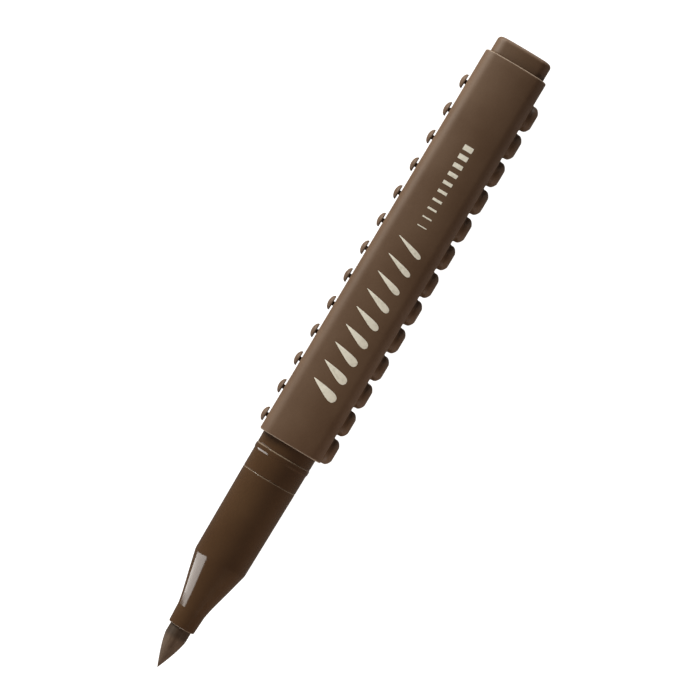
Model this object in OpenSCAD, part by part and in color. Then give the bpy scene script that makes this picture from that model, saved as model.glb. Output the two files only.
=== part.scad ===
// Brush-nib marker with a square barrel that links side by side to others of its kind.
// It lies on its back: +X runs from the middle of the barrel to the end plug, the nib
// points to -X, the printed face looks up (+Z), the pegs stand out to +Y and the
// socket knobs to -Y. The origin is on the barrel's flat back, at mid length.

/* [Barrel] */
// Length of the barrel tube
barrel_len = 86.15; // [85:0.05:110]
// Width across the two linking sides
barrel_w = 13.55; // [13.2:0.05:16]
// Height from the flat back to the top of the crowned face
barrel_h = 13.55; // [13.2:0.05:16]
// Radius of the four long corners
corner_r = 2.3; // [1.5:0.1:3.5]
// Radius of the crowned, printed face
crown_r = 24; // [14:1:80]
// Diameter of the bore through the barrel
bore_d = 10.8; // [10.4:0.1:11]
// Height of the four ribs that centre the reservoir
rib_h = 0.95; // [0.5:0.05:0.95]
// Width of those ribs
rib_w = 1.2; // [0.8:0.1:2]

/* [Links] */
// Number of pegs, and of socket knobs
links = 13; // [3:1:13]
// Distance from one link to the next
link_pitch = 6.33; // [5.8:0.01:6.4]
// Distance from the barrel's plug end to the first link
link_inset = 7.3; // [5:0.05:7.5]
// Diameter of a peg's head
peg_d = 3.06; // [2.4:0.02:3.1]
// Diameter of a peg's neck
peg_neck_d = 1.1; // [0.9:0.1:2]
// Length of a peg's neck
peg_neck = 0.42; // [0.2:0.02:0.6]
// How far a peg stands out of the side
peg_out = 1.3; // [1.2:0.01:1.6]
// Diameter of a socket knob
knob_d = 5.4; // [5:0.1:5.6]
// How far a knob stands out of the side
knob_out = 1.82; // [1.6:0.02:2.2]
// Diameter of the socket in a knob
socket_d = 3.2; // [3.16:0.02:3.4]
// Depth of that socket
socket_deep = 1.6; // [1.4:0.05:1.8]

/* [End plug] */
// Width of the plug's head
plug_w = 11.9; // [11:0.1:13]
// How far the head stands out behind the barrel
plug_out = 3.63; // [2:0.01:6]
// Rounding of the head's outer edge
plug_edge = 0.8; // [0.4:0.1:1.2]
// Length of the plug's spigot in the bore
plug_spigot = 9; // [6:0.5:12]

/* [Grip section] */
// Length of the section's spigot in the barrel
spigot_len = 11; // [8:0.5:14]
// Diameter of the neck next to the barrel
neck_d = 11.73; // [11.2:0.01:12]
// Diameter of the ring that a cap snaps over
snap_d = 11.94; // [11.8:0.01:12.2]
// Diameter of the seat for a cap
seat_d = 11.66; // [11.6:0.01:11.8]
// Where the seat starts, from the barrel
seat_from = 3.75; // [3.6:0.05:4]
// Where the seat ends
seat_to = 7.8; // [7:0.1:9]
// Diameter of the grip where the cone starts
grip_end_d = 11.2; // [10.6:0.1:11.4]
// Where the cone starts, from the barrel
cone_from = 26.7; // [20:0.1:30]
// Diameter of the nose where it meets the cone
nose_d = 5.94; // [5.7:0.02:6.2]
// Where the nose starts
nose_from = 37.65; // [36:0.05:38]
// Diameter of the nose at the mouth
mouth_d = 5.6; // [5.4:0.05:5.8]
// Distance from the barrel to the mouth
mouth_at = 41.57; // [40:0.01:43]

/* [Brush nib] */
// Diameter of the fibre rod
nib_d = 4.56; // [4.2:0.02:4.6]
// Bare length of full thickness outside the mouth, before the point
nib_straight = 1.96; // [1.6:0.01:2.4]
// Length of the point
nib_point = 7.25; // [6:0.05:9]
// Distance from the mouth to the place where the brush bends
flex_at = 1.5; // [1.4:0.05:1.8]
// Free gap between the two halves of the bending place
flex_gap = 0.06; // [0.03:0.01:0.1]
// How far the tail reaches back, from the barrel's front end
tail_to = 8; // [4:0.5:12]

/* [Ink supply] */
// Diameter of the fibre reservoir
core_d = 8.2; // [7.6:0.1:8.2]
// Wall of the film round the fibre
film_wall = 0.15; // [0.1:0.01:0.2]
// Where the reservoir ends inside the section, from the barrel's front end
core_front = 13.8; // [11:0.1:14]
// Outer diameter of the breather tube
tube_d = 1.6; // [1.2:0.1:1.6]
// Inner diameter of the breather tube
tube_bore = 1.0; // [0.6:0.1:1.1]

/* [Hidden] */
$fn = 96;

brown = [0.34, 0.27, 0.21];
dark_brown = [0.27, 0.20, 0.13];
nib_brown = [0.25, 0.20, 0.16];

half = barrel_len / 2;
axis_z = barrel_h / 2;
bore_r = bore_d / 2;
nib_r = nib_d / 2;
flex_s = mouth_at + flex_at;
tip_s = mouth_at + nib_straight + nib_point;
core_rear = plug_spigot + 0.2;        // free end of the reservoir, from the plug end
groove_r = 3.28;                      // where the breather tube lies, from the axis

// The place of link i along X, counted from the plug end.
function link_x(i) = half - link_inset - i * link_pitch;

// Radius of the point at share t of its length: an ogive with a fine tip.
function point_r(t) = nib_r * (1 - pow(t, 1.37)) * (1 - 0.03 * t * t);

// Lays a profile drawn in Y-Z along X, from x0 for a length.
module along_x(x0, len) {
    translate([x0, 0, 0]) rotate([90, 0, 90]) linear_extrude(height = len) children();
}

// Turns a profile of [radius, distance forward of the barrel] round the marker's axis.
module turned(points) {
    translate([-half, 0, axis_z]) rotate([0, -90, 0])
        rotate_extrude() polygon(points);
}

// A plain round bar on the axis, from distance a to b forward of the barrel.
module bar(r, a, b) {
    translate([-half - b, 0, axis_z]) rotate([0, 90, 0]) cylinder(r = r, h = b - a);
}

// Square outline with round corners and a crowned top, standing on z = base.
module outline(w, h, rc, crown, base = 0) {
    yc = w / 2 - rc;
    top = h - crown + sqrt(pow(crown - rc, 2) - yc * yc);
    uy = yc / (crown - rc);
    uz = sqrt(1 - uy * uy);
    translate([0, base]) {
        translate([-w / 2, rc]) square([w, top - rc]);
        translate([-yc, 0]) square([2 * yc, top]);
        for (s = [-1, 1]) {
            translate([s * yc, rc]) circle(r = rc);
            translate([s * yc, top]) circle(r = rc);
        }
        intersection() {
            translate([0, h - crown]) circle(r = crown, $fn = 360);
            polygon([[-yc, top], [yc, top],
                     [yc + uy * rc * 2, top + uz * rc * 2],
                     [-yc - uy * rc * 2, top + uz * rc * 2]]);
        }
    }
}

// Mushroom-headed peg, standing out of the side along +Y from y = 0.
module peg() {
    rim = 0.22;
    head = peg_out - peg_neck;
    cap = head - rim;
    cap_r = (peg_d * peg_d / 4 + cap * cap) / (2 * cap);
    open = asin(peg_d / 2 / cap_r);
    rotate([-90, 0, 0]) {
        translate([0, 0, -0.3]) cylinder(d = peg_neck_d, h = peg_neck + 0.4);
        translate([0, 0, peg_neck]) rotate_extrude($fn = 48)
            polygon(concat([[0, 0], [peg_d / 2, 0]],
                [for (k = [0 : 9]) [cap_r * sin(open * (1 - k / 10)), head - cap_r + cap_r * cos(open * (1 - k / 10))]],
                [[0, head]]));
    }
}

// Domed knob, standing out of the side along -Y from y = 0; the socket is cut later.
module knob() {
    side = 0.58;
    rotate([90, 0, 0]) {
        translate([0, 0, -0.3]) cylinder(d = knob_d, h = side + 0.3, $fn = 64);
        translate([0, 0, side]) rotate_extrude($fn = 64)
            polygon(concat([[0, 0]],
                [for (a = [0 : 7.5 : 52.5]) [knob_d / 2 * cos(a), (knob_out - side) * sin(a) / sin(52.5)]],
                [[0, knob_out - side]]));
    }
}

module barrel() {
    color(brown) difference() {
        union() {
            difference() {
                along_x(-half, barrel_len) outline(barrel_w, barrel_h, corner_r, crown_r);
                translate([-half - 1, 0, axis_z]) rotate([0, 90, 0])
                    cylinder(d = bore_d, h = barrel_len + 2);
            }
            // ribs that hold the reservoir in the middle of the bore
            intersection() {
                for (a = [45, 135, 225, 315])
                    translate([-half + spigot_len + 1, 0, axis_z]) rotate([a, 0, 0])
                        translate([0, -rib_w / 2, bore_r - rib_h])
                            cube([barrel_len - spigot_len - plug_spigot - 2, rib_w, rib_h + 0.4]);
                translate([-half, 0, axis_z]) rotate([0, 90, 0])
                    cylinder(d = bore_d + 0.4, h = barrel_len);
            }
            for (i = [0 : links - 1]) {
                translate([link_x(i), barrel_w / 2, axis_z]) peg();
                translate([link_x(i), -barrel_w / 2, axis_z]) knob();
            }
        }
        for (i = [0 : links - 1])
            translate([link_x(i), -barrel_w / 2 - knob_out - 0.2, axis_z]) rotate([-90, 0, 0])
                cylinder(d = socket_d, h = socket_deep + 0.2, $fn = 64);
    }
}

module rear_plug() {
    color(brown) {
        // head with a rounded outer edge
        base = (barrel_h - plug_w) / 2;
        hull() {
            along_x(half, plug_out - plug_edge)
                outline(plug_w, plug_w, corner_r - 0.3, crown_r, base, $fn = 32);
            for (a = [30, 60, 90])
                along_x(half, plug_out - plug_edge * (1 - sin(a)))
                    outline(plug_w - 2 * plug_edge * (1 - cos(a)), plug_w - 2 * plug_edge * (1 - cos(a)),
                        corner_r - 0.3 - plug_edge * (1 - cos(a)) * 0.6, crown_r,
                        base + plug_edge * (1 - cos(a)), $fn = 32);
        }
        // hollow spigot with crossed ribs that back the reservoir
        translate([half - plug_spigot, 0, axis_z]) rotate([0, 90, 0]) {
            difference() {
                union() {
                    cylinder(r1 = bore_r - 0.4, r2 = bore_r, h = 0.8);
                    translate([0, 0, 0.8]) cylinder(r = bore_r, h = plug_spigot - 0.8);
                }
                translate([0, 0, -1]) cylinder(r = bore_r - 1.1, h = plug_spigot + 0.2);
            }
            intersection() {
                union() {
                    translate([-bore_r, -0.5, 0]) cube([bore_d, 1, plug_spigot]);
                    translate([-0.5, -bore_r, 0]) cube([1, bore_d, plug_spigot]);
                }
                cylinder(r = bore_r - 0.9, h = plug_spigot);
            }
        }
    }
}

module grip_section() {
    groove = 0.09;
    color(dark_brown) difference() {
        turned([
            [0, -spigot_len], [bore_r - 0.5, -spigot_len], [bore_r, -spigot_len + 0.8], [bore_r, 0],
            [neck_d / 2 + 0.02, 0], [neck_d / 2 - 0.01, 2.35],
            [snap_d / 2 - 0.03, 2.5], [snap_d / 2 - 0.006, 2.65], [snap_d / 2, 3.0],
            [snap_d / 2 - 0.006, 3.35], [snap_d / 2 - 0.04, 3.5],
            [seat_d / 2, seat_from], [seat_d / 2, seat_to],
            [seat_d / 2 - groove, seat_to + 0.08], [seat_d / 2 - groove, seat_to + 0.18],
            [seat_d / 2 - 0.02, seat_to + 0.26],
            [grip_end_d / 2, cone_from],
            [4.98, cone_from + 2.5], [4.49, cone_from + 4.5], [3.97, cone_from + 6.5], [3.49, cone_from + 8.4],
            [3.24, cone_from + 9.6], [3.09, nose_from - 0.59], [nose_d / 2, nose_from],
            [nose_d / 2 - 0.05, nose_from + 0.5],
            [mouth_d / 2 + 0.02, mouth_at - 0.25], [mouth_d / 2 - 0.04, mouth_at - 0.07],
            [mouth_d / 2 - 0.12, mouth_at], [0, mouth_at]
        ]);
        // room for the reservoir, then the channel that grips the nib
        turned([[0, -spigot_len - 1], [core_d / 2 + film_wall + 0.12, -spigot_len - 1],
                [core_d / 2 + film_wall + 0.12, core_front + 0.2],
                [2.9, core_front + 2.4], [2.9, core_front + 6], [nib_r + 0.07, core_front + 8],
                [nib_r + 0.07, mouth_at + 1], [0, mouth_at + 1]]);
        // three air grooves beside the nib
        for (a = [90, 210, 330])
            translate([-half - mouth_at + 2.5, 0, axis_z]) rotate([a, 0, 0])
                translate([0, -0.3, 0]) cube([mouth_at - core_front - 6, 0.6, nib_r + 0.45]);
    }
}

module nib_tail() {
    color(nib_brown) difference() {
        turned([[0, tail_to], [1.0, tail_to], [nib_r, tail_to + 3.2],
                [nib_r, mouth_at + 0.2], [0, mouth_at + 0.2]]);
        translate([-half - flex_s, 0, axis_z]) sphere(r = nib_r + flex_gap);
    }
}

module brush_tip() {
    n = 14;
    color(nib_brown) union() {
        translate([-half - flex_s, 0, axis_z]) sphere(r = nib_r);
        turned(concat([[0, flex_s], [nib_r, flex_s], [nib_r, mouth_at + nib_straight]],
            [for (k = [1 : n - 1]) [point_r(k / n), mouth_at + nib_straight + nib_point * k / n]],
            [[0.08, tip_s - 0.06], [0, tip_s]]));
    }
}

module ink_reservoir() {
    color([0.42, 0.33, 0.26]) difference() {
        bar(core_d / 2, core_rear - barrel_len, core_front);
        turned([[0, tail_to - 0.2], [1.05, tail_to - 0.2], [nib_r + 0.05, tail_to + 3.05],
                [nib_r + 0.05, core_front + 1], [0, core_front + 1]]);
        translate([-half - core_front - 1, 0, axis_z + groove_r]) {
            rotate([0, 90, 0]) cylinder(d = tube_d + 0.06, h = barrel_len + core_front, $fn = 48);
            translate([0, -tube_d / 2 - 0.03, 0]) cube([barrel_len + core_front, tube_d + 0.06, 2]);
        }
    }
}

module reservoir_film() {
    color([0.86, 0.87, 0.86]) difference() {
        bar(core_d / 2 + film_wall, core_rear - barrel_len + 0.4, core_front - 0.4);
        bar(core_d / 2 + 0.01, core_rear - barrel_len - 1, core_front + 1);
    }
}

module breather_tube() {
    color([0.93, 0.93, 0.9]) translate([-half - core_front + 0.3, 0, axis_z + groove_r])
        rotate([0, 90, 0]) difference() {
            cylinder(d = tube_d, h = barrel_len + core_front - core_rear - 0.6, $fn = 48);
            translate([0, 0, -1]) cylinder(d = tube_bore, h = barrel_len + core_front, $fn = 48);
        }
}

barrel();
rear_plug();
grip_section();
nib_tail();
brush_tip();
ink_reservoir();
reservoir_film();
breather_tube();
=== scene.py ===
# Looks of the brush-nib marker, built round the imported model. Metres, same frame as the CAD.
import math
import random

import bmesh
import bpy
import numpy as np
from mathutils import Matrix, Vector


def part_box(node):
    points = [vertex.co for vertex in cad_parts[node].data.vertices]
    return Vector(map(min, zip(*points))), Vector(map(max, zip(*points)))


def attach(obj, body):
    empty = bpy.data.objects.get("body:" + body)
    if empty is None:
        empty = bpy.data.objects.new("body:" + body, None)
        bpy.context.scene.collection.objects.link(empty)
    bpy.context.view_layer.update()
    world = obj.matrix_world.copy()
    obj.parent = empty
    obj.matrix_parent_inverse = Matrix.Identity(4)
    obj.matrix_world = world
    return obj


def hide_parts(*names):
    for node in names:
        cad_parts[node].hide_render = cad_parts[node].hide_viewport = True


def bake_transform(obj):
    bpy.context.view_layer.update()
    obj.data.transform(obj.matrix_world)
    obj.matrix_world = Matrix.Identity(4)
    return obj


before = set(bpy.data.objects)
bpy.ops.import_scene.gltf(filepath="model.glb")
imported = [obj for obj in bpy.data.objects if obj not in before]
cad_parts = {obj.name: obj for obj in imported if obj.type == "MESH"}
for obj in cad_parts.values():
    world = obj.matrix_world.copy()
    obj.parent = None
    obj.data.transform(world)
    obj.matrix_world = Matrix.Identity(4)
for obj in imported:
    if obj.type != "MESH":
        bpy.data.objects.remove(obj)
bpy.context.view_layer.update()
MM = 0.001
random.seed(7)
rng = np.random.default_rng(7)
scene = bpy.context.scene

# ---------------------------------------------------------------- sizes, in millimetres, from the CAD boxes
b_lo, b_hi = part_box("barrel")
HALF = b_hi.x / MM
HEIGHT = b_hi.z / MM
AXIS = HEIGHT / 2
WIDTH = HEIGHT
CORNER, CROWN, BORE = 2.75, 24.0, 5.4
LINKS, PITCH, INSET = 13, 6.33, 7.3
PEG_R, PEG_NECK_R, PEG_NECK = 1.53, 0.45, 0.34
PEG_OUT = b_hi.y / MM - WIDTH / 2
KNOB_R, KNOB_OUT = 2.7, -b_lo.y / MM - WIDTH / 2
SOCKET_R, SOCKET_DEEP = 1.6, 1.6
PLUG_W, PLUG_EDGE, SPIGOT = 11.9, 0.8, 9.0
PLUG_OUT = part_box("rear_plug")[1].x / MM - HALF
MOUTH = 41.57
NIB_R, NIB_STRAIGHT, NIB_POINT, FLEX_AT = 2.28, 1.96, 7.25, 1.5


def link_x(i):
    return HALF - INSET - i * PITCH


# ---------------------------------------------------------------- mesh helpers
def make(name, verts, faces, sharp=40, smooth=True):
    me = bpy.data.meshes.new(name)
    me.from_pydata([tuple(float(c) * MM for c in v) for v in verts], [], [list(f) for f in faces])
    bm = bmesh.new()
    bm.from_mesh(me)
    bmesh.ops.remove_doubles(bm, verts=bm.verts, dist=1e-8)
    bmesh.ops.recalc_face_normals(bm, faces=bm.faces)
    bm.to_mesh(me)
    bm.free()
    if smooth:
        me.polygons.foreach_set("use_smooth", [True] * len(me.polygons))
        me.set_sharp_from_angle(angle=math.radians(sharp))
    me.update()
    ob = bpy.data.objects.new(name, me)
    scene.collection.objects.link(ob)
    return ob


def rounded(points, steps=6):
    """Polyline of (s, r, fillet) with its corners turned into arcs."""
    out = []
    n = len(points)
    for i, p in enumerate(points):
        s, r, f = (*p, 0.0)[:3]
        if f <= 0 or i in (0, n - 1):
            out.append((s, r))
            continue
        a = np.array(points[i - 1][:2], float)
        b = np.array((s, r), float)
        c = np.array(points[i + 1][:2], float)
        u, v = a - b, c - b
        lu, lv = np.linalg.norm(u), np.linalg.norm(v)
        u, v = u / lu, v / lv
        ang = math.acos(max(-1, min(1, float(u @ v))))
        if ang > math.radians(178):
            out.append((s, r))
            continue
        t = min(f / math.tan(ang / 2), 0.48 * lu, 0.48 * lv)
        rad = t * math.tan(ang / 2)
        m = (u + v) / np.linalg.norm(u + v)
        centre = b + m * rad / math.sin(ang / 2)
        p0, p1 = b + u * t, b + v * t
        a0 = math.atan2(*(p0 - centre)[::-1])
        a1 = math.atan2(*(p1 - centre)[::-1])
        d = (a1 - a0 + math.pi) % (2 * math.pi) - math.pi
        for k in range(steps + 1):
            w = a0 + d * k / steps
            out.append((centre[0] + rad * math.cos(w), centre[1] + rad * math.sin(w)))
    return out


def lathe(profile, n, place, closed=False, wobble=None):
    """Turns (along, radius) points about an axis. place(along, radius, angle) gives the point."""
    verts, rings, faces = [], [], []
    for a, r in profile:
        if r <= 1e-6:
            rings.append([len(verts)])
            verts.append(place(a, 0.0, 0.0))
            continue
        ring = []
        for k in range(n):
            t = 2 * math.pi * k / n
            rr = r if wobble is None else r + wobble(a, r, t)
            ring.append(len(verts))
            verts.append(place(a, rr, t))
        rings.append(ring)
    pairs = list(zip(rings[:-1], rings[1:]))
    if closed:
        pairs.append((rings[-1], rings[0]))
    for p, q in pairs:
        if len(p) == 1 and len(q) == 1:
            continue
        for k in range(n):
            j = (k + 1) % n
            if len(p) == 1:
                faces.append((p[0], q[k], q[j]))
            elif len(q) == 1:
                faces.append((p[k], q[0], p[j]))
            else:
                faces.append((p[k], q[k], q[j], p[j]))
    return verts, faces


def on_axis(s, r, t):
    """A point at distance s forward of the barrel, radius r, on the marker's axis."""
    return (-HALF - s, r * math.sin(t), AXIS + r * math.cos(t))


def loft(loops):
    """Closed tube from loops of equal length, last joined to the first."""
    verts, faces = [], []
    n = len(loops[0])
    for lp in loops:
        verts += list(lp)
    m = len(loops)
    for i in range(m):
        j = (i + 1) % m
        for k in range(n):
            l = (k + 1) % n
            faces.append((i * n + k, j * n + k, j * n + l, i * n + l))
    return verts, faces


def merge(parts):
    verts, faces = [], []
    for v, f in parts:
        o = len(verts)
        verts += list(v)
        faces += [tuple(i + o for i in q) for q in f]
    return verts, faces


def smoothstep(x):
    x = max(0.0, min(1.0, x))
    return x * x * (3 - 2 * x)


# ---------------------------------------------------------------- rounded-square outline
def outline(w, h, rc, crown, base=0.0, seam=0.0, arc=14, flat=10, top=30):
    """Points and outward normals of the barrel's outline in Y-Z, anticlockwise from the bottom."""
    yc = w / 2 - rc
    zt = h - crown + math.sqrt((crown - rc) ** 2 - yc * yc)
    a_t = math.asin(yc / (crown - rc))
    pts, nor = [], []

    def put(y, z, ny, nz):
        pts.append((y, z + base))
        nor.append((ny, nz))

    def line(y0, z0, y1, z1, ny, nz, n):
        for k in range(n):
            t = k / n
            put(y0 + (y1 - y0) * t, z0 + (z1 - z0) * t, ny, nz)

    def bend(y, z, r, a0, a1, n):
        for k in range(n):
            a = a0 + (a1 - a0) * k / n
            put(y + r * math.cos(a), z + r * math.sin(a), math.cos(a), math.sin(a))

    def side(sgn):
        """A flat side with a fine parting line half way up."""
        z0, z1 = (rc, zt) if sgn > 0 else (zt, rc)
        mid = h / 2
        stops = [z0, z0 + (mid - z0) * 0.33, z0 + (mid - z0) * 0.66]
        d = 1 if z1 > z0 else -1
        stops += [mid - d * x for x in (0.5, 0.2, 0.09, 0.05)] + [mid] + [mid + d * x for x in (0.05, 0.09, 0.2, 0.5)]
        stops += [mid + (z1 - mid) * 0.33, mid + (z1 - mid) * 0.66]
        for z in stops:
            e = seam * math.exp(-((z - mid) / 0.055) ** 2)
            put(sgn * (w / 2 + e), z, sgn, 0.0)

    hp = math.pi / 2
    line(-yc, 0, yc, 0, 0, -1, flat)
    bend(yc, rc, rc, -hp, 0, arc)
    side(1)
    bend(yc, zt, rc, 0, hp - a_t, arc)
    for k in range(top):
        a = a_t - 2 * a_t * k / top
        put(crown * math.sin(a), h - crown + crown * math.cos(a), math.sin(a), math.cos(a))
    bend(-yc, zt, rc, hp + a_t, math.pi, arc)
    side(-1)
    bend(-yc, rc, rc, math.pi, 1.5 * math.pi, arc)
    return np.array(pts), np.array(nor)


def ring_at(x, pts, nor, inset):
    q = pts - nor * inset
    return [(x, y, z) for y, z in q]


def circle_at(x, pts, r):
    """Loop on a circle about the axis with one point facing each outline point."""
    out = []
    for y, z in pts:
        a = math.atan2(z - AXIS, y)
        out.append((x, r * math.cos(a), AXIS + r * math.sin(a)))
    return out


# ---------------------------------------------------------------- barrel with its pegs and socket knobs
pts, nor = outline(WIDTH, HEIGHT, CORNER, CROWN, seam=0.03)
EDGE = 0.34
front = [ring_at(-HALF + EDGE * (1 - math.cos(a)), pts, nor, EDGE * (1 - math.sin(a)))
         for a in np.linspace(0, math.pi / 2, 8)]
rear = [ring_at(HALF - EDGE * (1 - math.cos(a)), pts, nor, EDGE * (1 - math.sin(a)))
        for a in np.linspace(math.pi / 2, 0, 8)]
xs = np.linspace(-HALF + EDGE, HALF - EDGE, 60)[1:-1]
loops = []
for x in np.linspace(HALF - 0.25, -HALF + 0.25, 12):
    loops.append(circle_at(x, pts, BORE))
loops.append(circle_at(-HALF, pts, BORE + 0.12))
loops.append(ring_at(-HALF, pts, nor, EDGE + 0.35))
loops += front
loops += [ring_at(x, pts, nor, 0) for x in xs]
loops += rear
loops.append(ring_at(HALF, pts, nor, EDGE + 0.35))
loops.append(circle_at(HALF, pts, BORE + 0.12))
barrel_parts = [loft(loops)]

SIDE_Y = WIDTH / 2


def knob_profile():
    """(height out of the side, radius), from the root through the dome and down into the socket."""
    pr = [(-0.35, 0.0), (-0.35, KNOB_R + 0.3), (0.0, KNOB_R + 0.3)]
    for a in np.linspace(0, math.pi / 2, 7)[1:]:      # fillet against the side
        pr.append((0.3 * (1 - math.cos(a)), KNOB_R + 0.02 + 0.28 * (1 - math.sin(a))))
    side, lip, semi, mouth_r = 0.60, 0.12, 1.45, 1.38
    a1 = math.acos((mouth_r + lip) / KNOB_R)
    top = side + semi * math.sin(a1)
    for a in np.linspace(0, a1, 26):                  # dome: an ellipse cut by the socket's mouth
        pr.append((side + semi * math.sin(a), KNOB_R * math.cos(a)))
    for a in np.linspace(0, math.pi / 2, 7)[1:]:      # rounded lip, a little narrower than the socket behind it
        pr.append((top + 0.005 - lip * (1 - math.cos(a)), mouth_r + lip * (1 - math.sin(a))))
    pr.append((top - 0.34, mouth_r))
    pr.append((top - 0.52, SOCKET_R))
    pr.append((KNOB_OUT - SOCKET_DEEP + 0.15, SOCKET_R))
    for a in np.linspace(0, math.pi / 2, 5)[1:]:
        pr.append((KNOB_OUT - SOCKET_DEEP + 0.15 * (1 - math.sin(a)), SOCKET_R - 0.15 * (1 - math.cos(a))))
    pr.append((KNOB_OUT - SOCKET_DEEP, 0.7))
    pr.append((KNOB_OUT - SOCKET_DEEP, 0.0))
    return pr


def peg_profile():
    """(height out of the side, radius): fillet, neck and domed head."""
    fr = 0.16
    pr = [(-0.3, 0.0), (-0.3, PEG_NECK_R + fr), (0.0, PEG_NECK_R + fr)]
    for a in np.linspace(0, math.pi / 2, 5)[1:]:
        pr.append((fr * (1 - math.cos(a)), PEG_NECK_R + fr * (1 - math.sin(a))))
    f2 = 0.06
    pr.append((PEG_NECK - f2, PEG_NECK_R))
    for a in np.linspace(0, math.pi / 2, 4)[1:]:
        pr.append((PEG_NECK - f2 * (1 - math.sin(a)), PEG_NECK_R + f2 * (1 - math.cos(a))))
    pr.append((PEG_NECK + 0.01, PEG_R - 0.1))
    for a in np.linspace(0, math.pi / 2, 5)[1:]:
        pr.append((PEG_NECK + 0.01 + 0.12 * (1 - math.cos(a)), PEG_R - 0.1 * (1 - math.sin(a))))
    h0 = PEG_NECK + 0.15
    for a in np.linspace(0, math.pi / 2, 18)[1:]:
        r = PEG_R * math.cos(a) if a < 1.57 else 0.0
        pr.append((h0 + (PEG_OUT - h0) * (1 - (r / PEG_R) ** 1.9) ** (1 / 1.9), r))
    return pr


kp, pp = knob_profile(), peg_profile()
for i in range(LINKS):
    x0 = link_x(i)
    barrel_parts.append(lathe(kp, 56, lambda h, r, t, x0=x0: (x0 + r * math.cos(t), -SIDE_Y - h, AXIS + r * math.sin(t))))
    barrel_parts.append(lathe(pp, 40, lambda h, r, t, x0=x0: (x0 + r * math.cos(t), SIDE_Y + h, AXIS + r * math.sin(t))))
barrel = make("barrel_moulding", *merge(barrel_parts), sharp=50)
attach(barrel, "marker_body")
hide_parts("barrel")

# ---------------------------------------------------------------- end plug
base = (HEIGHT - PLUG_W) / 2
ppts, pnor = outline(PLUG_W, PLUG_W, CORNER - 0.3, CROWN, base, arc=14, flat=10, top=30)


def plug_circle(x, r):
    return circle_at(x, ppts, r)


x1 = HALF + PLUG_OUT
plug_loops = [plug_circle(HALF - SPIGOT, BORE - 1.1), plug_circle(HALF - SPIGOT, BORE - 0.45),
              plug_circle(HALF - SPIGOT + 0.8, BORE - 0.01), plug_circle(HALF - 0.3, BORE - 0.01),
              plug_circle(HALF - 0.02, BORE - 0.05)]
plug_loops += [ring_at(HALF + 0.01, ppts, pnor, 0.3), ring_at(HALF + 0.03, ppts, pnor, 0.06), ring_at(HALF + 0.12, ppts, pnor, 0.0)]
plug_loops += [ring_at(x, ppts, pnor, 0.0) for x in np.linspace(HALF + 0.4, x1 - PLUG_EDGE, 7)]
plug_loops += [ring_at(x1 - PLUG_EDGE * (1 - math.sin(a)), ppts, pnor, PLUG_EDGE * (1 - math.cos(a)))
               for a in np.linspace(0, math.pi / 2, 12)[1:]]
c_r = 2.2
plug_loops += [ring_at(x1, ppts, pnor, PLUG_EDGE + 0.25)]
for k in range(1, 6):   # flat face, then a shallow round dimple with the gate mark
    f = k / 6
    a = ring_at(x1, ppts, pnor, PLUG_EDGE + 0.25)
    b = plug_circle(x1, c_r)
    plug_loops.append([tuple(p[j] * (1 - f) + q[j] * f for j in range(3)) for p, q in zip(a, b)])
plug_loops += [plug_circle(x1, c_r + 0.04), plug_circle(x1 - 0.03, c_r), plug_circle(x1 - 0.16, c_r - 0.1),
               plug_circle(x1 - 0.2, c_r - 0.22), plug_circle(x1 - 0.2, 0.45), plug_circle(x1 - 0.12, 0.38),
               plug_circle(x1 - 0.1, 0.3)]
n_out = len(ppts)
verts, faces = [], []
for lp in plug_loops:
    verts += lp
for i in range(len(plug_loops) - 1):
    for k in range(n_out):
        l = (k + 1) % n_out
        faces.append((i * n_out + k, (i + 1) * n_out + k, (i + 1) * n_out + l, i * n_out + l))
c0 = len(verts)
verts.append((x1 - 0.1, 0, AXIS))
last = (len(plug_loops) - 1) * n_out
faces += [(last + k, c0, last + (k + 1) % n_out) for k in range(n_out)]
# inside of the hollow spigot
inner = [plug_circle(HALF - 0.8, BORE - 1.1)]
o = len(verts)
verts += inner[0]
faces += [(k, o + k, o + (k + 1) % n_out, (k + 1) % n_out) for k in range(n_out)]
c1 = len(verts)
verts.append((HALF - 0.8, 0, AXIS))
faces += [(o + k, c1, o + (k + 1) % n_out) for k in range(n_out)]
plug_parts = [(verts, faces)]
for rot in (0, 1):      # crossed ribs that back the reservoir
    w2, h2 = (0.5, BORE - 1.0) if rot else (BORE - 1.0, 0.5)
    vs = [(x, y, AXIS + z) for x in (HALF - SPIGOT + 0.02, HALF - 0.7) for y in (-w2, w2) for z in (-h2, h2)]
    plug_parts.append((vs, [(0, 1, 3, 2), (4, 6, 7, 5), (0, 4, 5, 1), (2, 3, 7, 6), (0, 2, 6, 4), (1, 5, 7, 3)]))
plug = make("end_plug", *merge(plug_parts), sharp=48)
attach(plug, "marker_body")
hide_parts("rear_plug")

# ---------------------------------------------------------------- grip section
outer = rounded([
    (-11.0, 4.9), (-10.2, 5.39, 0.2), (-0.02, 5.39, 0.0), (0.02, 5.80, 0.05), (0.14, 5.885, 0.1),
    (2.3, 5.862, 0.06), (2.38, 5.81, 0.03), (2.42, 5.81, 0.03), (2.62, 5.965, 0.03),
    (3.42, 5.965, 0.2), (3.8, 5.83, 0.35), (7.78, 5.815, 0.03),
    (7.83, 5.728, 0.02), (7.88, 5.728, 0.02), (7.99, 5.812, 0.03),
    (26.7, 5.60, 3.0), (29.2, 4.98), (31.2, 4.49), (33.2, 3.97, 6.0), (35.1, 3.49, 6.0),
    (36.3, 3.235, 4.0), (37.06, 3.09, 2.0), (37.65, 2.985, 0.9), (41.2, 2.805, 0.0), (41.40, 2.795, 0.1),
    (MOUTH, 2.70, 0.06), (MOUTH, 2.44, 0.05)], steps=7)
inner = rounded([(MOUTH - 0.12, 2.35), (36.0, 2.35), (21.8, 2.35), (19.8, 2.9), (16.2, 2.9), (14.0, 4.37), (-11.0, 4.37)])
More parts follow.
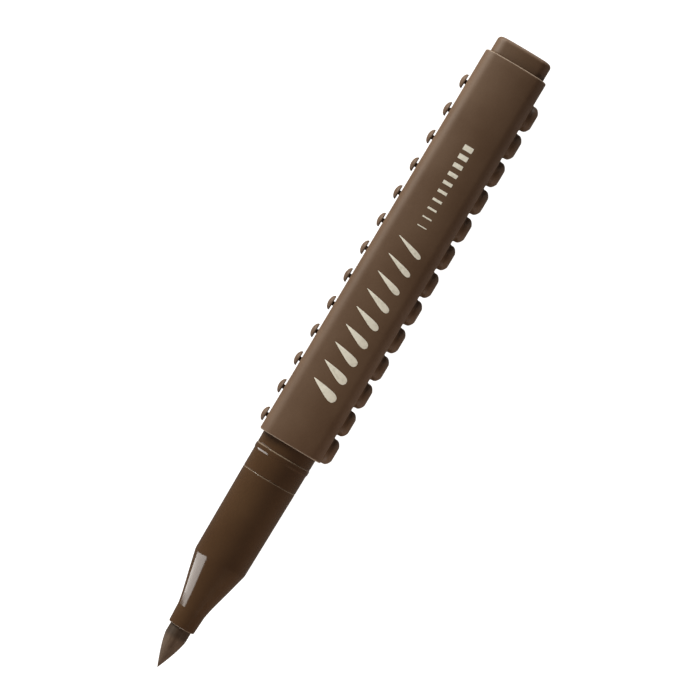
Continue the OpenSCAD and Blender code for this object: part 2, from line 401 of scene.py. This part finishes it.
# longer runs are split so that the shading stays even
dense = []
for a, b in zip(outer[:-1], outer[1:]):
    d = math.hypot(b[0] - a[0], b[1] - a[1])
    k = max(1, int(d / 1.2))
    dense += [(a[0] + (b[0] - a[0]) * i / k, a[1] + (b[1] - a[1]) * i / k) for i in range(k)]
dense.append(outer[-1])
section = make("section_moulding", *lathe(dense + inner, 160, on_axis, closed=True), sharp=38)
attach(section, "marker_body")
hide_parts("grip_section")


# ---------------------------------------------------------------- brush nib: one fibre piece
def nib_radius(s):
    """Radius of the bare nib at distance s forward of the barrel."""
    t = (s - MOUTH - NIB_STRAIGHT) / NIB_POINT
    if t <= 0:
        return NIB_R
    return NIB_R * (1 - t ** 1.37) * (1 - 0.03 * t * t)


n_nib = 180
# long fibres: a few broad ones and many fine ones, each with its own depth
angles = np.arange(n_nib) * 2 * np.pi / n_nib
groove = np.zeros(n_nib)
for f, a in ((7, 0.010), (13, 0.009), (23, 0.008), (41, 0.007), (67, 0.006)):
    groove += a * np.cos(f * angles + rng.uniform(0, 6.28))
fine = rng.normal(0, 0.006, n_nib)


def nib_wobble(s, r, t):
    k = int(round(t / (2 * math.pi) * n_nib)) % n_nib
    if s < MOUTH - 2.5:
        return 0.0
    w = smoothstep((s - MOUTH + 2.5) / 3)
    along = 0.6 + 0.4 * math.sin(1.7 * s + 5 * math.sin(3 * t))
    return -abs(groove[k] * along + fine[k]) * w * (0.35 + 0.65 * min(1.0, r / NIB_R))


tip_s = MOUTH + NIB_STRAIGHT + NIB_POINT
prof = [(8.0, 0.0), (8.0, 0.9), (8.15, 1.05), (11.2, NIB_R - 0.01)]
prof += [(s, NIB_R - 0.005) for s in np.linspace(12, MOUTH - 3, 12)]
prof += [(s, NIB_R) for s in np.linspace(MOUTH - 2.5, MOUTH + NIB_STRAIGHT, 28)]
ts = 1 - (1 - np.linspace(0, 1, 60)[1:]) ** 1.15
for t in ts[:-1]:
    s = MOUTH + NIB_STRAIGHT + NIB_POINT * t
    prof.append((s, max(nib_radius(s), 0.02)))
prof.append((tip_s, 0.0))
nib = make("brush_nib", *lathe(prof, n_nib, on_axis, wobble=nib_wobble), sharp=80)
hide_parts("nib_tail", "brush_tip")
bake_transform(nib)


# ---------------------------------------------------------------- print on the crowned face
def crown_z(y):
    return HEIGHT - CROWN + math.sqrt(CROWN * CROWN - y * y)


def ink_strip(line, widths, lift=0.016, across=6):
    """A closed, thin band of ink that follows the crowned face. line is (x, y) points."""
    line = np.array(line, float)
    n = len(line)
    tang = np.gradient(line, axis=0)
    tang /= np.linalg.norm(tang, axis=1)[:, None]
    nrm = np.stack([-tang[:, 1], tang[:, 0]], 1)
    verts, faces = [], []
    m = across + 1
    for layer, z_off in ((0, lift), (1, -0.02)):
        for i in range(n):
            for k in range(m):
                u = k / across * 2 - 1
                p = line[i] + nrm[i] * widths[i] / 2 * u
                round_off = 0.006 * u ** 6 if layer == 0 else 0
                verts.append((p[0], p[1], crown_z(p[1]) + z_off - round_off))
    top = lambda i, k: i * m + k
    bot = lambda i, k: n * m + i * m + k
    for i in range(n - 1):
        for k in range(across):
            faces.append((top(i, k), top(i + 1, k), top(i + 1, k + 1), top(i, k + 1)))
            faces.append((bot(i, k), bot(i, k + 1), bot(i + 1, k + 1), bot(i + 1, k)))
        faces.append((top(i, 0), bot(i, 0), bot(i + 1, 0), top(i + 1, 0)))
        faces.append((top(i, across), top(i + 1, across), bot(i + 1, across), bot(i, across)))
    for k in range(across):
        faces.append((top(0, k), top(0, k + 1), bot(0, k + 1), bot(0, k)))
        faces.append((top(n - 1, k), bot(n - 1, k), bot(n - 1, k + 1), top(n - 1, k + 1)))
    return verts, faces


def ink_dot(x, y, r, lift=0.016, n=36):
    verts, faces = [], []
    for z_off, f in ((lift, 0.0), (lift, 0.5), (lift, 0.9), (lift - 0.005, 1.0), (-0.02, 1.0)):
        for k in range(n):
            a = 2 * math.pi * k / n
            px, py = x + r * f * math.cos(a), y + r * f * math.sin(a)
            verts.append((px, py, crown_z(py) + z_off))
    for i in range(4):
        for k in range(n):
            l = (k + 1) % n
            faces.append((i * n + k, (i + 1) * n + k, (i + 1) * n + l, i * n + l))
    faces.append(tuple(4 * n + k for k in range(n)))
    return verts, faces


ink = []
# row of slanted drops, each pressed a little harder than the one before
OFF = -0.2
for i in range(9):
    x = 2.0 - 4.02 * i
    t = np.linspace(0, 1, 44)
    w_max = 1.25 + 0.12 * i
    wd = w_max * (t ** 0.85) * np.clip(1 - t ** 7, 0, 1) ** 0.5 * 1.12 + 0.05
    yy = OFF + 2.95 - 5.9 * t
    xx = x + 1.0 - 2.0 * t
    ink.append(ink_strip(np.stack([xx, yy], 1), wd))
# scale of line widths: short strokes, each a little thicker than the last
for i in range(10):
    x = 6.6 + i * 1.95
    line = [(x, OFF - 1.0 + 2.0 * t) for t in np.linspace(0, 1, 9)]
    w = 0.2 + 0.1 * i
    ink.append(ink_strip(line, [w] * 9, across=3))
print_ob = make("barrel_print", *merge(ink), sharp=60)
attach(print_ob, "marker_body")


# ---------------------------------------------------------------- materials
def nodes_of(name):
    m = bpy.data.materials.new(name)
    m.use_nodes = True
    nt = m.node_tree
    return m, nt, nt.nodes["Principled BSDF"]


def noise(nt, scale, detail=2.0, rough=0.5, stretch=None, coord="Object"):
    tc = nt.nodes.new("ShaderNodeTexCoord")
    mp = nt.nodes.new("ShaderNodeMapping")
    mp.inputs["Scale"].default_value = stretch or (1, 1, 1)
    nt.links.new(tc.outputs[coord], mp.inputs["Vector"])
    nz = nt.nodes.new("ShaderNodeTexNoise")
    nz.inputs["Scale"].default_value = scale
    nz.inputs["Detail"].default_value = detail
    nz.inputs["Roughness"].default_value = rough
    nt.links.new(mp.outputs["Vector"], nz.inputs["Vector"])
    return nz


def ramp(nt, src, stops):
    r = nt.nodes.new("ShaderNodeValToRGB")
    els = r.color_ramp.elements
    while len(els) < len(stops):
        els.new(0.5)
    for e, (p, c) in zip(els, stops):
        e.position = p
        e.color = (*c, 1)
    nt.links.new(src, r.inputs["Fac"])
    return r


def remap(nt, src, lo, hi, a, b):
    m = nt.nodes.new("ShaderNodeMapRange")
    m.inputs["From Min"].default_value = lo
    m.inputs["From Max"].default_value = hi
    m.inputs["To Min"].default_value = a
    m.inputs["To Max"].default_value = b
    nt.links.new(src, m.inputs["Value"])
    return m


def bump(nt, src, strength, distance, normal=None):
    b = nt.nodes.new("ShaderNodeBump")
    b.inputs["Strength"].default_value = strength
    b.inputs["Distance"].default_value = distance
    nt.links.new(src, b.inputs["Height"])
    if normal is not None:
        nt.links.new(normal, b.inputs["Normal"])
    return b


def plastic(name, dark, light, rough, rough_var, grain, flow, spec=0.5, coat=0.0, coat_rough=0.2):
    """Moulded plastic: slow drift of colour, fine grain, faint flow waves."""
    m, nt, p = nodes_of(name)
    slow = noise(nt, 95, 3, 0.55)
    fine_n = noise(nt, 2600, 2, 0.5)
    mix = nt.nodes.new("ShaderNodeMix")
    mix.data_type = "FLOAT"
    mix.inputs[0].default_value = 0.22
    nt.links.new(slow.outputs["Fac"], mix.inputs[2])
    nt.links.new(fine_n.outputs["Fac"], mix.inputs[3])
    col = ramp(nt, mix.outputs[0], [(0.32, dark), (0.68, light)])
    nt.links.new(col.outputs["Color"], p.inputs["Base Color"])
    rr = remap(nt, slow.outputs["Fac"], 0.3, 0.7, rough - rough_var, rough + rough_var)
    nt.links.new(rr.outputs["Result"], p.inputs["Roughness"])
    grain_n = noise(nt, 7000, 3, 0.6)
    b1 = bump(nt, grain_n.outputs["Fac"], grain, 0.00003)
    flow_n = noise(nt, 60, 1, 0.4, stretch=(0.35, 1, 1))
    b2 = bump(nt, flow_n.outputs["Fac"], flow, 0.0002, b1.outputs["Normal"])
    nt.links.new(b2.outputs["Normal"], p.inputs["Normal"])
    p.inputs["Specular IOR Level"].default_value = spec
    p.inputs["IOR"].default_value = 1.49
    p.inputs["Coat Weight"].default_value = coat
    p.inputs["Coat Roughness"].default_value = coat_rough
    return m


barrel_mat = plastic("barrel_plastic", (0.079, 0.0440, 0.0240), (0.099, 0.0585, 0.0340), 0.56, 0.04, 0.28, 0.25, spec=0.30)
plug_mat = plastic("plug_plastic", (0.080, 0.0440, 0.0235), (0.098, 0.0580, 0.0330), 0.54, 0.04, 0.26, 0.25, spec=0.30)
section_mat = plastic("section_plastic", (0.0405, 0.0200, 0.0088), (0.052, 0.0268, 0.0120), 0.13, 0.02, 0.03, 0.12, spec=0.45)


def painted_highlight_lines(m, bands, colour):
    """Thin painted highlight lines round a moulding, standing in for the light that rims and step edges catch: bands is
    [(x, half width, strength)] in mm along its axis.
    """
    nt = m.node_tree
    p = nt.nodes["Principled BSDF"]
    src = p.inputs["Base Color"].links[0].from_socket
    tc = nt.nodes.new("ShaderNodeTexCoord")
    sep = nt.nodes.new("ShaderNodeSeparateXYZ")
    nt.links.new(tc.outputs["Object"], sep.inputs["Vector"])
    patchy = noise(nt, 420, 2, 0.5)
    total = None
    for x, half, strength in bands:
        off = nt.nodes.new("ShaderNodeMath")
        off.operation = "SUBTRACT"
        nt.links.new(sep.outputs["X"], off.inputs[0])
        off.inputs[1].default_value = x * MM
        dist = nt.nodes.new("ShaderNodeMath")
        dist.operation = "ABSOLUTE"
        nt.links.new(off.outputs["Value"], dist.inputs[0])
        band = remap(nt, dist.outputs["Value"], half * 0.6 * MM, half * MM, strength, 0.0)
        if total is None:
            total = band.outputs["Result"]
        else:
            both = nt.nodes.new("ShaderNodeMath")
            both.operation = "MAXIMUM"
            nt.links.new(total, both.inputs[0])
            nt.links.new(band.outputs["Result"], both.inputs[1])
            total = both.outputs["Value"]
    uneven = remap(nt, patchy.outputs["Fac"], 0.35, 0.65, 0.7, 1.0)
    fac = nt.nodes.new("ShaderNodeMath")
    fac.operation = "MULTIPLY"
    nt.links.new(total, fac.inputs[0])
    nt.links.new(uneven.outputs["Result"], fac.inputs[1])
    # mix the painted highlight colour over the plastic's own colour
    mx = nt.nodes.new("ShaderNodeMix")
    mx.data_type = "RGBA"
    nt.links.new(fac.outputs["Value"], mx.inputs[0])
    nt.links.new(src, mx.inputs[6])
    mx.inputs[7].default_value = (*colour, 1.0)
    nt.links.new(mx.outputs[2], p.inputs["Base Color"])


# painted highlights: thin pale lines standing in for light caught on the ring for the cap, the groove and the mouth,
# and on the ends of the barrel
painted_highlight_lines(section_mat, [(-(HALF + 2.55), 0.13, 0.85), (-(HALF + 7.95), 0.12, 0.7), (-(HALF + MOUTH - 0.02), 0.10, 0.8)], (0.19, 0.145, 0.105))
painted_highlight_lines(barrel_mat, [(HALF - 0.12, 0.16, 0.55), (-HALF + 0.10, 0.14, 0.6)], (0.26, 0.20, 0.15))

# nib: fine long fibres, damp with ink
nib_mat, nt, p = nodes_of("nib_fibre")
streak = noise(nt, 900, 5, 0.65, stretch=(0.12, 1, 1))
blot = noise(nt, 420, 3, 0.5)
mix = nt.nodes.new("ShaderNodeMix")
mix.data_type = "FLOAT"
mix.inputs[0].default_value = 0.35
nt.links.new(streak.outputs["Fac"], mix.inputs[2])
nt.links.new(blot.outputs["Fac"], mix.inputs[3])
col = ramp(nt, mix.outputs[0], [(0.3, (0.045, 0.026, 0.016)), (0.5, (0.072, 0.047, 0.031)), (0.72, (0.110, 0.078, 0.054))])
tc = nt.nodes.new("ShaderNodeTexCoord")
sep = nt.nodes.new("ShaderNodeSeparateXYZ")
nt.links.new(tc.outputs["Object"], sep.inputs["Vector"])
# darker next to the mouth, with a ragged edge
rag = nt.nodes.new("ShaderNodeMath")
rag.operation = "MULTIPLY_ADD"
nt.links.new(blot.outputs["Fac"], rag.inputs[0])
rag.inputs[1].default_value = 0.0016
nt.links.new(sep.outputs["X"], rag.inputs[2])
mouth_darkening = remap(nt, rag.outputs["Value"], -(HALF + MOUTH + 2.1) * MM, -(HALF + MOUTH + 0.7) * MM, 1.0, 0.55)
mouth_darkening.interpolation_type = "SMOOTHSTEP"
shade = nt.nodes.new("ShaderNodeMix")
shade.data_type = "RGBA"
shade.blend_type = "MULTIPLY"
shade.inputs[0].default_value = 1.0
grey = nt.nodes.new("ShaderNodeCombineColor")
for k in ("Red", "Green", "Blue"):
    nt.links.new(mouth_darkening.outputs["Result"], grey.inputs[k])
nt.links.new(col.outputs["Color"], shade.inputs[6])
nt.links.new(grey.outputs["Color"], shade.inputs[7])
nt.links.new(shade.outputs[2], p.inputs["Base Color"])
rr = remap(nt, streak.outputs["Fac"], 0.3, 0.7, 0.42, 0.62)
nt.links.new(rr.outputs["Result"], p.inputs["Roughness"])
hair = noise(nt, 3200, 4, 0.7, stretch=(0.06, 1, 1))
b1 = bump(nt, hair.outputs["Fac"], 0.6, 0.00004)
nt.links.new(b1.outputs["Normal"], p.inputs["Normal"])
p.inputs["Sheen Weight"].default_value = 0.0
p.inputs["Specular IOR Level"].default_value = 0.15
p.inputs["Sheen Roughness"].default_value = 0.5

# printed ink: slightly uneven off-white film
print_mat, nt, p = nodes_of("print_ink")
cover = noise(nt, 1500, 4, 0.6)
col = ramp(nt, cover.outputs["Fac"], [(0.25, (0.50, 0.48, 0.40)), (0.5, (0.62, 0.60, 0.52)), (0.8, (0.67, 0.65, 0.57))])
nt.links.new(col.outputs["Color"], p.inputs["Base Color"])
rr = remap(nt, cover.outputs["Fac"], 0.3, 0.7, 0.40, 0.55)
nt.links.new(rr.outputs["Result"], p.inputs["Roughness"])
b1 = bump(nt, cover.outputs["Fac"], 0.25, 0.00002)
nt.links.new(b1.outputs["Normal"], p.inputs["Normal"])

# inside pieces
core_mat, nt, p = nodes_of("core_fibre")
streak = noise(nt, 1200, 5, 0.7, stretch=(0.05, 1, 1))
col = ramp(nt, streak.outputs["Fac"], [(0.3, (0.05, 0.028, 0.015)), (0.7, (0.17, 0.105, 0.06))])
nt.links.new(col.outputs["Color"], p.inputs["Base Color"])
p.inputs["Roughness"].default_value = 0.85
b1 = bump(nt, streak.outputs["Fac"], 0.8, 0.0001)
nt.links.new(b1.outputs["Normal"], p.inputs["Normal"])

film_mat, nt, p = nodes_of("film")
wr = noise(nt, 260, 4, 0.6, stretch=(0.4, 1, 1))
col = ramp(nt, wr.outputs["Fac"], [(0.3, (0.68, 0.69, 0.68)), (0.7, (0.80, 0.81, 0.80))])
nt.links.new(col.outputs["Color"], p.inputs["Base Color"])
rr = remap(nt, wr.outputs["Fac"], 0.3, 0.7, 0.18, 0.32)
nt.links.new(rr.outputs["Result"], p.inputs["Roughness"])
p.inputs["Transmission Weight"].default_value = 0.35
b1 = bump(nt, wr.outputs["Fac"], 0.4, 0.0002)
nt.links.new(b1.outputs["Normal"], p.inputs["Normal"])

tube_mat = plastic("tube_plastic", (0.78, 0.78, 0.73), (0.86, 0.86, 0.82), 0.35, 0.05, 0.1, 0.2)

for ob, m in ((barrel, barrel_mat), (plug, plug_mat), (section, section_mat), (nib, nib_mat), (print_ob, print_mat)):
    ob.data.materials.clear()
    ob.data.materials.append(m)
for node, m in (("barrel", barrel_mat), ("rear_plug", plug_mat), ("grip_section", section_mat), ("nib_tail", nib_mat),
                ("brush_tip", nib_mat), ("ink_reservoir", core_mat), ("reservoir_film", film_mat), ("breather_tube", tube_mat)):
    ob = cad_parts[node]
    if ob.material_slots:
        for sl in ob.material_slots:
            sl.material = m
    else:
        ob.data.materials.append(m)

# ---------------------------------------------------------------- stage, light and camera
floor_me = bpy.data.meshes.new("floor")
F = 1.6
floor_me.from_pydata([(-F, -F, -0.0002), (F, -F, -0.0002), (F, F, -0.0002), (-F, F, -0.0002)], [], [(0, 1, 2, 3)])
floor = bpy.data.objects.new("floor", floor_me)
scene.collection.objects.link(floor)
fm, nt, p = nodes_of("pale_floor")
p.inputs["Base Color"].default_value = (0.35, 0.35, 0.35, 1)
p.inputs["Roughness"].default_value = 1.0
p.inputs["Specular IOR Level"].default_value = 0.0
p.inputs["Emission Color"].default_value = (1, 1, 1, 1)
p.inputs["Emission Strength"].default_value = 1.0
floor_me.materials.append(fm)
floor.visible_glossy = False

world = bpy.data.worlds.new("studio")
scene.world = world
world.use_nodes = True
bg = world.node_tree.nodes["Background"]
bg.inputs["Color"].default_value = (1.0, 0.87, 0.78, 1)
bg.inputs["Strength"].default_value = 0.14


def area(name, loc, target, sx, sy, power, color=(1, 1, 1)):
    li = bpy.data.lights.new(name, "AREA")
    li.shape = "RECTANGLE"
    li.size, li.size_y = sx, sy
    li.energy = power
    li.color = color
    ob = bpy.data.objects.new(name, li)
    ob.location = loc
    d = Vector(target) - Vector(loc)
    ob.rotation_euler = d.to_track_quat("-Z", "Y").to_euler()
    scene.collection.objects.link(ob)
    return ob


C = (-0.02, 0, AXIS * MM)
# a wide softbox, low and to the left behind the barrel, models the crowned face
area("key_left", (0.36, 0.66, 0.27), C, 0.50, 0.30, 11.6, (1.0, 1.0, 0.945))
area("fill_right", (0.45, -0.62, 0.45), C, 0.55, 0.40, 0.05, (1.0, 0.88, 0.76))
# a tall, dimmer strip in front of it gives the long mark on the cone
strip = area("strip_left", (0, 0, 0), (0, 1, 0), 0.18, 0.80, 3.0, (1.0, 0.975, 0.94))
zc = Vector((-0.4598, 0.8836, -0.0887)).normalized()
up = Vector((-0.050, 0.074, 0.996))
yc = (up - zc * up.dot(zc)).normalized()
xc = yc.cross(zc)
pose = Matrix((xc, yc, zc)).transposed().to_4x4()
pose.translation = zc * 0.70 + Vector((-0.078, 0, AXIS * MM))
strip.matrix_world = pose
area("front_soft", (-0.60, 0.02, 0.14), C, 0.30, 0.10, 1.2)
# from behind, so that edges which face the rear end catch a thin line
area("rear_soft", (0.66, 0.08, 0.035), C, 0.40, 0.05, 3.0, (1.0, 0.97, 0.92))
# a small warm fill for the shaded side of the grip and the brush
near = area("front_fill", (-0.18, -0.14, 0.12), (-0.085, 0, AXIS * MM), 0.12, 0.12, 0.27, (1.0, 0.84, 0.70))
near.visible_glossy = False

cam_data = bpy.data.cameras.new("camera")
cam = bpy.data.objects.new("camera", cam_data)
scene.collection.objects.link(cam)
scene.camera = cam
cam_data.sensor_width = 36.0
cam_data.clip_start = 0.01
cam_data.clip_end = 10
CAM_POS = (-24.02, 0.55, 600.0)
CAM_R = ((0.513172, 0.858271, -0.005045), (-0.858276, 0.513186, 0.001803), (0.004137, 0.003405, 0.999986))
CAM_F = 3023.9
cam_data.lens = CAM_F / 700 * 36.0
m = Matrix(CAM_R).to_4x4()
m.translation = Vector(CAM_POS) * MM
cam.matrix_world = m

scene.view_settings.view_transform = "Standard"
scene.view_settings.look = "None"
